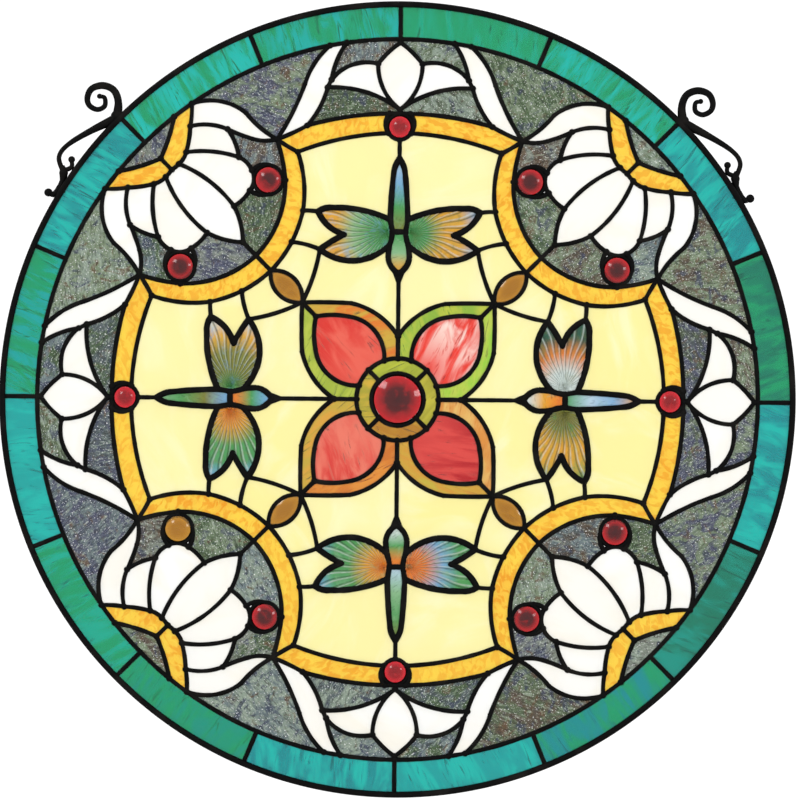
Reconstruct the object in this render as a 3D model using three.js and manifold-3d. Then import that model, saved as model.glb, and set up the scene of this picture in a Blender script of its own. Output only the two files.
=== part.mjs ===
// A round stained glass panel that hangs by two scroll hooks, in millimetres.
// The panel stands in the XZ plane, its front faces -Y, and the origin is midway between the scroll eyes.
import * as THREE from 'three';
import { mergeVertices } from 'three/addons/utils/BufferGeometryUtils.js';
import Module from 'manifold-3d';

const wasm = await Module();
wasm.setup();

// Panel, rim and frame channel
const PANEL_RADIUS = 305;
const RIM_BAND = 29;
const RIM_PIECES = 16;
const RIM_STEPS = 3;
const FRAME_FACE = 4.5;
const FRAME_DEPTH = 9;
const FRAME_WALL = 1.5;

// Sheet glass and the gaps around it
const GLASS_THICKNESS = 3;
const FIT_GAP = 0.3;
const SEAM_GAP = 1.2;
const CARRIER_WIDTH = 1.2;

// Lead lines
const LEAD_WIDTH = 4.4;
const BODY_LEAD_WIDTH = 5.6;
const LEAD_HEIGHT = 1.5;
const FRAME_LAP = 0.3;

// Jewels: their radius in the openings, how far they bulge past the leads, and how much they taper
const CENTRE_JEWEL = 18;
const SIDE_JEWEL = 8.2;
const CORNER_JEWEL = 9.8;
const JEWEL_BULGE = 3;
const CENTRE_BULGE = 4.5;
const JEWEL_TAPER = 3.4;

// Scroll hooks. Each eye's middle lies out from and above the frame's corner at 45 degrees.
const HOOK_THICKNESS = 4;
const HOOK_STRIP = 4.8;
const HOOK_TIP = 3;
const EYE_OUT = 14.33;
const EYE_UP = 14.33;
const EYE_BALL_RADIUS = 1.8;
const CURL_BALL_RADIUS = 2.3;
const FOOT_BALL_RADIUS = 3;

// How far a polygon may leave its true arc, in the openings and on the edges that the leads cover
const OPENING_TOLERANCE = 2.2;
const HIDDEN_TOLERANCE = 2.2;
const JEWEL_STEPS = 8;

const FIELD_RADIUS = PANEL_RADIUS - RIM_BAND;
const GLASS_FRONT = -GLASS_THICKNESS / 2;
const GLASS_BACK = GLASS_THICKNESS / 2;
const LEAD_BACK = GLASS_FRONT - FIT_GAP;
const LEAD_FRONT = LEAD_BACK - LEAD_HEIGHT;
const CHANNEL_RADIUS = PANEL_RADIUS - FRAME_WALL;
const ROUND_STEPS = RIM_PIECES * RIM_STEPS;
const EYE_SPREAD = PANEL_RADIUS * Math.SQRT1_2 + EYE_OUT;
const EYE_RISE = PANEL_RADIUS * Math.SQRT1_2 + EYE_UP;
const SIDES = ['top', 'right', 'bottom', 'left'];
const CORNERS = ['top_right', 'bottom_right', 'bottom_left', 'top_left'];

// The pattern is drawn for the top side, right of its upright axis and up to the diagonal, in shares of
// the radius of the field inside the rim. X runs right and Y runs up, from the panel's centre.
const at = (x, y) => new THREE.Vector2(x, y).multiplyScalar(FIELD_RADIUS);
const polar = (radius, degrees) => {
  const angle = THREE.MathUtils.degToRad(degrees);
  return at(radius * Math.sin(angle), radius * Math.cos(angle));
};

// A seam is an arc from a to b. Its bulge, a share of its chord, is positive to the left.
const seam = (a, b, bulge = 0) => ({ a, b, bulge });
const back = ({ a, b, bulge }) => ({ a: b, b: a, bulge: -bulge });

// A seam that runs clockwise on a circle round the panel's centre
function clockwise(a, b) {
  const half = a.distanceTo(b) / 2;
  return seam(a, b, (a.length() - Math.sqrt(a.lengthSq() - half * half)) / (2 * half));
}

function pointsOf({ a, b, bulge }, tolerance) {
  const chord = b.clone().sub(a);
  const steps = Math.max(1, Math.round(Math.sqrt(Math.abs(bulge) * chord.length() / tolerance)));
  if (steps === 1) return [a];
  const side = new THREE.Vector2(-chord.y, chord.x);
  const centre = a.clone().lerp(b, 0.5).addScaledVector(side, bulge - (0.25 + bulge * bulge) / (2 * bulge));
  const sweep = -4 * Math.atan(2 * bulge);
  return Array.from({ length: steps }, (_, i) => a.clone().rotateAround(centre, sweep * i / steps));
}

const sameSpot = (p, q) => p.distanceTo(q) < 1e-4;

// Puts the seams of a piece head to tail
function chain(seams) {
  const [first, second] = seams;
  const loop = [sameSpot(first.b, second.a) || sameSpot(first.b, second.b) ? first : back(first)];
  for (const next of seams.slice(1)) {
    loop.push(sameSpot(loop.at(-1).b, next.a) ? next : back(next));
  }
  return loop;
}

const mirrored = (move) => (part) => ({ a: move(part.a), b: move(part.b), bulge: -part.bulge });
const acrossAxis = mirrored((p) => new THREE.Vector2(-p.x, p.y));
const acrossDiagonal = mirrored((p) => new THREE.Vector2(p.y, p.x));
const bothHalves = (mirror, seams) => [...seams, ...seams.map(mirror).reverse().map(back)];
const quarterTurn = (part, turns) => {
  const turned = (p) => p.clone().rotateAround(new THREE.Vector2(), -turns * Math.PI / 2);
  return { a: turned(part.a), b: turned(part.b), bulge: part.bulge };
};

// Rim joints, clockwise from the top
const rimTop = polar(1, 0);
const ribbonTopIn = polar(1, 8.6);
const ribbonTopOut = polar(1, 11.3);
const longEnd = polar(1, 35.3);
const baseRim = polar(1, 38.8);
const rimDiagonal = polar(1, 45);

// Fan and ribbon joints
const fanTip = at(0, 0.9906);
const fanShoulder = at(0.0616, 0.9312);
const fanBase = at(0, 0.8043);
const fanPointTop = at(0.1906, 0.8862);
const fanPointLow = at(0.2014, 0.8645);
const ribbonFoot = at(0.2572, 0.7583);
const ribbonWaist = at(0.2645, 0.8732);

// Amber border joints: along the side, at the cusp, and round the corner circle
const borderTop = at(0, 0.7935);
const jewelTopSide = at(0.029, 0.7931);
const jewelLowSide = at(0.0308, 0.7388);
const jewelLow = at(0, 0.7203);
const cuspOut = at(0.3406, 0.7192);
const cuspIn = at(0.2826, 0.6848);
const circleWest = at(0.3167, 0.6062);
const diagonalOut = at(0.396, 0.396);
const diagonalIn = at(0.3543, 0.3543);
const borderTopMeet = at(0.2667, 0.5225);
const borderLowMeet = at(0.2971, 0.4348);

// Lily joints
const longBend = at(0.4275, 0.7917);
const longLowBend = at(0.4094, 0.7203);
const petalTop = at(0.4783, 0.7464);
const baseTop = at(0.5815, 0.7536);
const baseMiddle = at(0.5924, 0.6812);
const baseLow = at(0.6123, 0.6486);
const baseDiagonal = at(0.6322, 0.6322);
const moonDiagonal = at(0.663, 0.663);
const petalCorner = at(0.4457, 0.6685);
const noseTop = at(0.4094, 0.6322);
const noseLow = at(0.4149, 0.5761);
const petalMeet = at(0.4583, 0.5326);
const lilyTip = at(0.433, 0.433);
const jewelWest = at(0.3254, 0.6062);

// Dragonfly joints
const tailTip = at(0, 0.6685);
const tailShoulder = at(0.0145, 0.6377);
const waist = at(0.0239, 0.4982);
const waistLow = at(0.0188, 0.4649);
const waistMiddle = at(0, 0.4649);
const armpit = at(0.0254, 0.4293);
const headSide = at(0.029, 0.3913);
const headTip = at(0, 0.3496);
const wingTop = at(0.1812, 0.5308);
const wingTopTip = at(0.2246, 0.5199);
const wingNotch = at(0.1504, 0.4565);
const wingLowTip = at(0.2192, 0.4149);
const wingLow = at(0.1123, 0.3848);

// Flower joints
const flowerNotch = at(0, 0.1757);
const flowerShoulder = at(0.1304, 0.2663);
const flowerTip = at(0.267, 0.267);
const innerShoulder = at(0.1377, 0.229);
const innerTip = at(0.2283, 0.2283);
const ringTop = polar(0.1141, 0);
const ringPetal = polar(0.1141, 19.3);
const ringDiagonal = polar(0.1141, 45);
const ringInTop = polar(0.0725, 0);
const ringInDiagonal = polar(0.0725, 45);

const s = {
  rimFan: clockwise(rimTop, ribbonTopIn),
  rimRibbon: clockwise(ribbonTopIn, ribbonTopOut),
  rimGround: clockwise(ribbonTopOut, longEnd),
  rimBase: clockwise(longEnd, baseRim),
  rimMoon: clockwise(baseRim, rimDiagonal),
  fanCentreTop: seam(fanTip, fanShoulder, 0.04),
  fanCentreLow: seam(fanShoulder, fanBase, 0.12),
  fanSideTop: seam(fanShoulder, fanPointTop, 0.15),
  fanSideLow: seam(fanPointLow, fanBase, -0.09),
  fanAxis: seam(fanTip, rimTop),
  baseAxis: seam(fanBase, borderTop),
  ribbonInTop: seam(ribbonTopIn, fanPointTop, 0.06),
  fanTouch: seam(fanPointTop, fanPointLow),
  ribbonInLow: seam(fanPointLow, ribbonFoot, -0.06),
  ribbonOutTop: seam(ribbonTopOut, ribbonWaist, 0.07),
  ribbonOutLow: seam(ribbonWaist, cuspOut, -0.03),
  borderOutA: seam(borderTop, jewelTopSide, 0.008),
  borderOutB: seam(jewelTopSide, ribbonFoot, 0.033),
  borderOutC: seam(ribbonFoot, cuspOut, -0.02),
  borderIn: seam(jewelLowSide, cuspIn, 0.042),
  cuspSeam: seam(cuspOut, cuspIn, 0.02),
  jewelSide: seam(jewelTopSide, jewelLowSide, 0.2),
  jewelBelow: seam(jewelLowSide, jewelLow, 0.12),
  longTopA: seam(cuspOut, longBend, -0.05),
  longTopB: seam(longBend, longEnd, 0.13),
  longLowA: seam(cuspOut, longLowBend, -0.07),
  longLowB: seam(longLowBend, petalTop, -0.02),
  longLowC: seam(petalTop, baseTop, 0.08),
  baseEdgeA: seam(longEnd, baseTop, -0.03),
  baseEdgeB: seam(baseTop, baseMiddle, -0.03),
  baseEdgeC: seam(baseMiddle, baseLow, -0.08),
  baseEdgeD: seam(baseLow, baseDiagonal, -0.04),
  baseMoon: seam(baseRim, moonDiagonal, -0.03),
  baseSeam: seam(baseDiagonal, moonDiagonal),
  smallSide: seam(petalTop, petalCorner, -0.06),
  smallLow: seam(petalCorner, baseMiddle, 0.06),
  largeTop: seam(noseTop, petalCorner, 0.1),
  largeNose: seam(noseLow, noseTop, 0.14),
  largeLow: seam(petalMeet, noseLow, 0.06),
  centreTop: seam(baseLow, petalMeet, -0.07),
  centreLow: seam(petalMeet, lilyTip, -0.06),
  diagonalSeam: seam(lilyTip, diagonalOut),
  amberSeam: seam(diagonalOut, diagonalIn),
  circleTop: seam(cuspOut, circleWest, -0.03),
  circleLow: seam(circleWest, diagonalOut, -0.1),
  circleInA: seam(cuspIn, borderTopMeet, -0.06),
  circleInB: seam(borderTopMeet, borderLowMeet, -0.03),
  circleInC: seam(borderLowMeet, diagonalIn, -0.035),
  jewelGap: seam(circleWest, jewelWest),
  jewelUp: seam(jewelWest, noseTop, 0.33),
  jewelDown: seam(noseLow, jewelWest, 0.27),
  tailSeam: seam(jewelLow, tailTip),
  tailA: seam(tailTip, tailShoulder, 0.05),
  tailB: seam(tailShoulder, waist, 0.01),
  tailC: seam(waist, waistLow),
  tailD: seam(waistLow, waistMiddle),
  bodySide: seam(waistLow, armpit, -0.05),
  headA: seam(armpit, headSide, 0.02),
  headB: seam(headSide, headTip, 0.12),
  wingTopA: seam(waist, wingTop, 0.06),
  wingTopB: seam(wingTop, wingTopTip, 0.1),
  notchTop: seam(wingTopTip, wingNotch, 0.12),
  notchLow: seam(wingNotch, wingLowTip, 0.03),
  wingLowA: seam(wingLowTip, wingLow, 0.1),
  wingLowB: seam(wingLow, armpit, 0.08),
  creamTop: seam(wingTopTip, borderTopMeet, 0.02),
  creamMiddle: seam(wingLowTip, borderLowMeet, 0.04),
  creamLow: seam(wingLowTip, flowerTip, -0.04),
  creamAxis: seam(headTip, flowerNotch),
  ovalOut: seam(diagonalIn, flowerTip, -0.25),
  flowerOutA: seam(flowerNotch, flowerShoulder, 0.1),
  flowerOutB: seam(flowerShoulder, flowerTip, 0.012),
  flowerInA: seam(ringPetal, innerShoulder, 0.2),
  flowerInB: seam(innerShoulder, innerTip, 0.05),
  flowerSeam: seam(innerTip, flowerTip),
  flowerAxis: seam(flowerNotch, ringTop),
  ringA: clockwise(ringTop, ringPetal),
  ringB: clockwise(ringPetal, ringDiagonal),
  ringIn: clockwise(ringInTop, ringInDiagonal),
  ringSeam: seam(ringDiagonal, ringInDiagonal),
};

// The glass, by node. The pieces of a node are like glass that meets at their seams. A piece on a
// side's axis or on a corner's diagonal is its own mirror image; any other piece has a mirrored twin.
const AXIS = 'axis';
const DIAGONAL = 'diagonal';
const SHEETS = [
  { node: 'fan', by: SIDES, finish: 'white', atRim: true, pieces: [
    { on: AXIS, seams: [s.fanCentreTop, s.fanCentreLow] },
    { seams: [s.fanSideTop, s.fanTouch, s.fanSideLow, s.fanCentreLow] },
    { seams: [s.ribbonInTop, s.fanTouch, s.ribbonInLow, s.borderOutC, s.ribbonOutLow, s.ribbonOutTop,
      s.rimRibbon] },
  ] },
  { node: 'fan_ground', by: SIDES, finish: 'ground', pieces: [
    { seams: [s.fanSideLow, s.ribbonInLow, s.borderOutB, s.borderOutA, s.baseAxis] },
  ] },
  { node: 'amber_border', by: CORNERS, finish: 'amber', pieces: [
    { seams: [s.borderOutB, s.borderOutC, s.cuspSeam, s.borderIn, s.jewelSide] },
    { seams: [s.circleTop, s.circleLow, s.amberSeam, s.circleInC, s.circleInB, s.circleInA, s.cuspSeam] },
  ] },
  { node: 'lily', by: CORNERS, finish: 'white', atRim: true, pieces: [
    { seams: [s.longTopA, s.longTopB, s.baseEdgeA, s.longLowC, s.longLowB, s.longLowA] },
    { seams: [s.longLowC, s.baseEdgeB, s.smallLow, s.smallSide] },
    { seams: [s.smallLow, s.baseEdgeC, s.centreTop, s.largeLow, s.largeNose, s.largeTop] },
    { on: DIAGONAL, seams: [s.centreLow, s.centreTop, s.baseEdgeD] },
  ] },
  { node: 'lily_base', by: CORNERS, finish: 'amber', atRim: true, pieces: [
    { seams: [s.baseEdgeA, s.baseEdgeB, s.baseEdgeC, s.baseEdgeD, s.baseSeam, s.baseMoon, s.rimBase] },
  ] },
  { node: 'corner_ground', by: CORNERS, finish: 'ground', pieces: [
    { seams: [s.longLowA, s.longLowB, s.smallSide, s.largeTop, s.jewelUp, s.jewelGap, s.circleTop] },
    { seams: [s.jewelGap, s.jewelDown, s.largeLow, s.centreLow, s.diagonalSeam, s.circleLow] },
  ] },
  { node: 'cream_field', by: SIDES, finish: 'cream', pieces: [
    { seams: [s.tailA, s.tailB, s.wingTopA, s.wingTopB, s.creamTop, s.circleInA, s.borderIn,
      s.jewelBelow, s.tailSeam] },
    { seams: [s.creamTop, s.circleInB, s.creamMiddle, s.notchLow, s.notchTop] },
    { seams: [s.creamMiddle, s.circleInC, s.ovalOut, s.creamLow] },
    { seams: [s.headB, s.headA, s.wingLowB, s.wingLowA, s.creamLow, s.flowerOutB, s.flowerOutA,
      s.creamAxis] },
  ] },
  { node: 'dragonfly', by: SIDES, finish: 'cast', lead: BODY_LEAD_WIDTH, pieces: [
    { seams: [s.tailC, s.bodySide, s.wingLowB, s.wingLowA, s.notchLow, s.notchTop, s.wingTopB,
      s.wingTopA] },
    { on: AXIS, seams: [s.tailA, s.tailB, s.tailC, s.tailD] },
    { on: AXIS, seams: [s.tailD, s.bodySide, s.headA, s.headB] },
  ] },
  { node: 'oval_jewel', by: CORNERS, finish: 'honey', pieces: [{ on: DIAGONAL, seams: [s.ovalOut] }] },
  { node: 'flower_surround', finish: 'lime', pieces: [
    { seams: [s.flowerOutA, s.flowerOutB, s.flowerSeam, s.flowerInB, s.flowerInA, s.ringA, s.flowerAxis] },
    { on: AXIS, seams: [s.ringA, s.ringB, s.ringSeam, s.ringIn] },
  ] },
  { node: 'red_petal', by: CORNERS, finish: 'red', pieces: [
    { on: DIAGONAL, seams: [s.ringB, s.flowerInA, s.flowerInB] },
  ] },
  { node: 'rim_ground', finish: 'ground', pieces: [
    { seams: [s.rimFan, s.ribbonInTop, s.fanSideTop, s.fanCentreTop, s.fanAxis] },
    { seams: [s.ribbonOutTop, s.ribbonOutLow, s.longTopA, s.longTopB, s.rimGround] },
    { on: DIAGONAL, seams: [s.baseMoon, s.rimMoon] },
  ] },
];

// Every piece of a sheet in its places round the panel, with the name of its node
function placesOf({ node, by, pieces }) {
  const places = [];
  for (const { on, seams } of pieces) {
    const whole = on === DIAGONAL ? bothHalves(acrossDiagonal, seams)
      : on === AXIS ? bothHalves(acrossAxis, seams) : seams;
    const twins = on ? [whole] : [whole, whole.map(acrossAxis)];
    for (let turns = 0; turns < 4; turns += 1) {
      twins.forEach((twin, isMirror) => {
        const place = by === CORNERS ? (turns + 3 * isMirror) % 4 : turns;
        const name = by ? `${node}_${by[place]}` : node;
        places.push({ name, seams: chain(twin.map((part) => quarterTurn(part, turns))) });
      });
    }
  }
  return places;
}

const holeOf = (outline) => [...outline].reverse();
const upright = (outline) => (THREE.ShapeUtils.area(outline) > 0 ? outline : holeOf(outline));
const outlineOf = (seams, tolerance) => upright(seams.flatMap((part) => pointsOf(part, tolerance)));

const cross = (p, q) => p.x * q.y - p.y * q.x;

// Moves every edge of an outline into the glass, and drops the edges that this uses up. Edges on the
// rim line can move by a distance of their own.
function inset(outline, distance, rimDistance = distance) {
  const onRim = (p) => Math.abs(p.length() - FIELD_RADIUS) < 1e-3;
  let edges = outline.map((start, i) => {
    const end = outline[(i + 1) % outline.length];
    const along = end.clone().sub(start).normalize();
    const inward = new THREE.Vector2(-along.y, along.x);
    const shift = onRim(start) && onRim(end) ? rimDistance : distance;
    return { along, from: start.clone().addScaledVector(inward, shift) };
  });
  const meet = (before, after) => {
    const turn = cross(before.along, after.along);
    if (Math.abs(turn) < 1e-3) return after.from;
    const reach = cross(after.from.clone().sub(before.from), after.along) / turn;
    return before.from.clone().addScaledVector(before.along, reach);
  };
  for (;;) {
    const corners = edges.map((edge, i) => meet(edges.at(i - 1), edge));
    const lengths = edges.map((edge, i) => corners[(i + 1) % edges.length].clone().sub(corners[i])
      .dot(edge.along));
    const shortest = lengths.indexOf(Math.min(...lengths));
    if (lengths[shortest] > 0 || edges.length <= 3) return corners;
    edges = edges.filter((_, i) => i !== shortest);
  }
}

// The outlines round a group of neighbouring pieces: the edges that only one of them has, end to end
function outlinesOf(group) {
  const nameOf = (p) => `${Math.round(p.x * 1000)},${Math.round(p.y * 1000)}`;
  const edges = new Map();
  for (const { seams } of group) {
    const points = outlineOf(seams, HIDDEN_TOLERANCE);
    points.forEach((from, i) => {
      const to = points[(i + 1) % points.length];
      const twin = `${nameOf(to)} ${nameOf(from)}`;
      if (!edges.delete(twin)) edges.set(`${nameOf(from)} ${nameOf(to)}`, { from, to });
    });
  }
  const leaving = new Map([...edges.values()].map((edge) => [nameOf(edge.from), edge]));
  const outlines = [];
  while (leaving.size) {
    const outline = [];
    let [name] = leaving.keys();
    while (leaving.has(name)) {
      const { from, to } = leaving.get(name);
      leaving.delete(name);
      outline.push(from);
      name = nameOf(to);
    }
    outlines.push(outline);
  }
  return outlines;
}

// A slab of the panel between two depths. An outline that runs clockwise is a hole in it.
function slab(outlines, front, rear) {
  const outer = outlines.filter((outline) => THREE.ShapeUtils.area(outline) > 0);
  const shapes = outer.map((outline) => new THREE.Shape(outline));
  shapes[0].holes = outlines.filter((outline) => !outer.includes(outline)).map((hole) => new THREE.Path(hole));
  const geometry = new THREE.ExtrudeGeometry(shapes, { depth: rear - front, bevelEnabled: false });
  geometry.translate(0, 0, -rear);
  return geometry.rotateX(Math.PI / 2);
}

// A regular outline round a centre, its first corner straight up
function round(radius, steps, centre = new THREE.Vector2()) {
  return Array.from({ length: steps }, (_, i) => centre.clone()
    .add(new THREE.Vector2(0, radius).rotateAround(new THREE.Vector2(), 2 * Math.PI * i / steps)));
}

const ring = (outside, inside, steps) => [round(outside, steps), holeOf(round(inside, steps))];

function closed(geometry) {
  geometry.deleteAttribute('normal');
  geometry.deleteAttribute('uv');
  return mergeVertices(geometry, 1e-4);
}

function solidOf(geometry) {
  const merged = closed(geometry);
  return new wasm.Manifold(new wasm.Mesh({
    numProp: 3,
    vertProperties: Float32Array.from(merged.attributes.position.array),
    triVerts: Uint32Array.from(merged.index.array),
  }));
}

function geometryOf(solid) {
  const { vertProperties, triVerts } = solid.getMesh();
  const geometry = new THREE.BufferGeometry();
  geometry.setAttribute('position', new THREE.BufferAttribute(vertProperties, 3));
  geometry.setIndex(new THREE.BufferAttribute(triVerts, 1));
  return geometry;
}

const FINISHES = {
  lead: { color: 0x14120f, roughness: 0.55, metalness: 0.6 },
  teal: { color: 0x12b5a0, roughness: 0.2, metalness: 0 },
  white: { color: 0xfffdf2, roughness: 0.2, metalness: 0 },
  cream: { color: 0xfbf0a8, roughness: 0.2, metalness: 0 },
  ground: { color: 0x84907f, roughness: 0.3, metalness: 0 },
  amber: { color: 0xf5b325, roughness: 0.2, metalness: 0 },
  lime: { color: 0xc4bf3f, roughness: 0.2, metalness: 0 },
  red: { color: 0xe0493c, roughness: 0.2, metalness: 0 },
  ruby: { color: 0x8e0810, roughness: 0.1, metalness: 0 },
  honey: { color: 0xb98720, roughness: 0.1, metalness: 0 },
  cast: { color: 0x5f9a62, roughness: 0.25, metalness: 0 },
};

const panel = new THREE.Group();
panel.position.z = -EYE_RISE;

function add(name, finish, geometry, centre = new THREE.Vector2()) {
  const mesh = new THREE.Mesh(closed(geometry), new THREE.MeshStandardMaterial(FINISHES[finish]));
  mesh.name = name;
  mesh.position.set(centre.x, 0, centre.y);
  panel.add(mesh);
}

// Frame: a channel that grips the rim glass and the edge of the lead lattice
function frameGeometry() {
  const half = FRAME_DEPTH / 2;
  const lip = PANEL_RADIUS - FRAME_FACE;
  const front = LEAD_FRONT - FIT_GAP;
  const rear = GLASS_BACK + FIT_GAP;
  const profile = [[lip, -half], [PANEL_RADIUS, -half], [PANEL_RADIUS, half], [lip, half], [lip, rear],
    [CHANNEL_RADIUS, rear], [CHANNEL_RADIUS, front], [lip, front], [lip, -half]];
  return new THREE.LatheGeometry(profile.map(([x, y]) => new THREE.Vector2(x, y)), ROUND_STEPS);
}

// One opening of the rim: between two dividers, the rim lead and the frame
function rimOpening(index) {
  const step = 2 * Math.PI / RIM_PIECES;
  const arc = (radius) => {
    const start = Math.asin(LEAD_WIDTH / 2 / radius);
    return Array.from({ length: RIM_STEPS + 1 }, (_, i) => {
      const angle = index * step + THREE.MathUtils.clamp(i * step / RIM_STEPS, start, step - start);
      return new THREE.Vector2(-radius * Math.sin(angle), radius * Math.cos(angle));
    });
  };
  const outside = PANEL_RADIUS - FRAME_FACE + FRAME_LAP;
  return [...holeOf(arc(FIELD_RADIUS + LEAD_WIDTH / 2)), ...arc(outside)];
}

const jewels = [{ node: 'centre_jewel', centre: at(0, 0), radius: CENTRE_JEWEL, bulge: CENTRE_BULGE,
  steps: 2 * JEWEL_STEPS }];
const cornerJewel = at(0.3634, 0.6062);
for (let turns = 0; turns < 4; turns += 1) {
  const turned = (x, y) => new THREE.Vector2(x, y).rotateAround(new THREE.Vector2(), -turns * Math.PI / 2);
  jewels.push({ node: `side_jewel_${SIDES[turns]}`, centre: turned(...at(0, 0.7562)), radius: SIDE_JEWEL });
  jewels.push({ node: `corner_jewel_${CORNERS[turns]}_a`, centre: turned(...cornerJewel),
    radius: CORNER_JEWEL });
  jewels.push({ node: `corner_jewel_${CORNERS[turns]}_b`, centre: turned(cornerJewel.y, cornerJewel.x),
    radius: CORNER_JEWEL });
}

// Lead lattice: one net of soldered lead lines with an opening for every piece of glass
const openings = SHEETS.flatMap((sheet) => placesOf(sheet).map(({ seams }) => (
  inset(outlineOf(seams, OPENING_TOLERANCE), (sheet.lead ?? LEAD_WIDTH) / 2))));
openings.push(...jewels.map(({ centre, radius, steps }) => round(radius, steps ?? JEWEL_STEPS, centre)));
for (let i = 0; i < RIM_PIECES; i += 1) openings.push(rimOpening(i));
const latticeEdge = round(CHANNEL_RADIUS - FIT_GAP, ROUND_STEPS);

add('frame_ring', 'lead', frameGeometry());
add('lead_lattice', 'lead', slab([latticeEdge, ...openings.map(holeOf)], LEAD_FRONT, LEAD_BACK));

// Rim glass: the sixteen pieces of the band, behind their lead lines, in the frame's channel
add('rim_glass', 'teal', slab(ring(CHANNEL_RADIUS - FIT_GAP, FIELD_RADIUS + SEAM_GAP / 2, ROUND_STEPS),
  GLASS_FRONT, GLASS_BACK));

// Sheets of the field. The pieces of ground along the rim don't meet, so a thin carrier ring of the
// same glass joins them under the rim lead, and the sheets that end at the rim stop short of it.
const carrierOutside = FIELD_RADIUS + SEAM_GAP / 2 - FIT_GAP;
const carrierInside = carrierOutside - CARRIER_WIDTH;
const glass = (outlines) => slab(outlines, GLASS_FRONT, GLASS_BACK);
const disc = (radius) => solidOf(glass([round(radius, ROUND_STEPS)]));

function rimGround(outlines) {
  const carrier = solidOf(glass(ring(carrierOutside, carrierInside, ROUND_STEPS)));
  return outlines.map((outline) => solidOf(glass([inset(outline, SEAM_GAP / 2, -FRAME_FACE)])))
    .reduce((sum, piece) => sum.add(piece), carrier).intersect(disc(carrierOutside));
}

for (const sheet of SHEETS) {
  const places = placesOf(sheet);
  for (const name of new Set(places.map((place) => place.name))) {
    const outlines = outlinesOf(places.filter((place) => place.name === name));
    const edges = outlines.map((outline) => inset(outline, SEAM_GAP / 2));
    if (sheet.node === 'rim_ground') add(name, sheet.finish, geometryOf(rimGround(outlines)));
    else if (sheet.atRim) {
      const trimmed = solidOf(glass(edges)).intersect(disc(carrierInside - FIT_GAP));
      add(name, sheet.finish, geometryOf(trimmed));
    } else add(name, sheet.finish, glass(edges));
  }
}

// Jewels: cast domes that stand through their openings
for (const { node, centre, radius, bulge = JEWEL_BULGE, steps = JEWEL_STEPS } of jewels) {
  const body = radius - FIT_GAP;
  const profile = [[0, LEAD_FRONT - bulge], [0.6 * body, LEAD_FRONT - 0.75 * bulge], [body, LEAD_FRONT],
    [body - JEWEL_TAPER, GLASS_BACK], [0, GLASS_BACK]];
  const dome = new THREE.LatheGeometry(profile.map(([x, y]) => new THREE.Vector2(x, y)), steps);
  add(node, 'ruby', dome, centre);
}

// Scroll hooks: flat cast scrolls soldered to the frame's edge. Their eye takes the hanging chain.
// Outline of a strip of changing width along a curve through the points
function strip(points, widths, steps) {
  const curve = new THREE.SplineCurve(points);
  const sides = [[], []];
  for (let i = 0; i <= steps; i += 1) {
    const share = i / steps;
    const slot = Math.min(Math.floor(share * (widths.length - 1)), widths.length - 2);
    const half = THREE.MathUtils.lerp(widths[slot], widths[slot + 1], share * (widths.length - 1) - slot) / 2;
    const along = curve.getTangent(share);
    const left = new THREE.Vector2(-along.y, along.x).multiplyScalar(half);
    sides[0].push(curve.getPoint(share).add(left));
    sides[1].unshift(curve.getPoint(share).sub(left));
  }
  return sides.flat();
}

function hook(mirror) {
  const place = ([x, y]) => new THREE.Vector2(mirror * (EYE_SPREAD + x), EYE_RISE + y);
  const path = (...points) => points.map(place);
  const eyeEnd = [0.3, 0.4];
  const curlEnd = [21.3, -48.3];
  const footEnd = [38.9, -73.7];
  const scroll = path([-13.4, -20], [-14.1, -4.2], [-10.6, 5], [-2.3, 8.6], [6.2, 6.2], [9.6, -0.4],
    [8.2, -6.6], [2, -9.8], [-3.6, -7.1], [-3.6, -0.9], eyeEnd);
  const arm = path([-18, -14.5], [6.8, -26.2], [24.5, -37.2], [31, -46.5], [28, -57.5]);
  const leaf = path([28.6, -53], [27.4, -58.6], [28.3, -66], [27.5, -76.5]);
  const outlines = [
    strip(scroll, [8, HOOK_STRIP, HOOK_STRIP, HOOK_TIP, HOOK_TIP, HOOK_TIP], 15),
    strip(arm, [8, HOOK_TIP, HOOK_TIP], 6),
    strip(path([27.4, -57], [21.4, -54], curlEnd), [HOOK_TIP, HOOK_TIP], 4),
    strip(leaf, [HOOK_TIP, 6.4, HOOK_TIP, 6], 6),
    strip(path([28.3, -64], [30, -70], [34.5, -75], footEnd), [HOOK_TIP, 5.5, HOOK_TIP], 6),
    round(EYE_BALL_RADIUS, JEWEL_STEPS, place(eyeEnd)),
    round(CURL_BALL_RADIUS, JEWEL_STEPS, place(curlEnd)),
    round(FOOT_BALL_RADIUS, JEWEL_STEPS, place(footEnd)),
  ];
  const half = HOOK_THICKNESS / 2;
  const bars = outlines.map((outline) => solidOf(slab([upright(outline)], -half, half)));
  const cut = solidOf(slab([round(PANEL_RADIUS + FIT_GAP, ROUND_STEPS)], -FRAME_DEPTH, FRAME_DEPTH));
  return geometryOf(bars.reduce((sum, bar) => sum.add(bar)).subtract(cut));
}

add('hanger_right', 'lead', hook(1));
add('hanger_left', 'lead', hook(-1));

export default panel;
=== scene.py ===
# A round stained glass panel that hangs by two scroll hooks. The panel stands in the XZ plane and its
# front faces -Y. The script follows the panel as it is put together, from the drawing to the hooks.
import cmath
import math
import random

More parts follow.
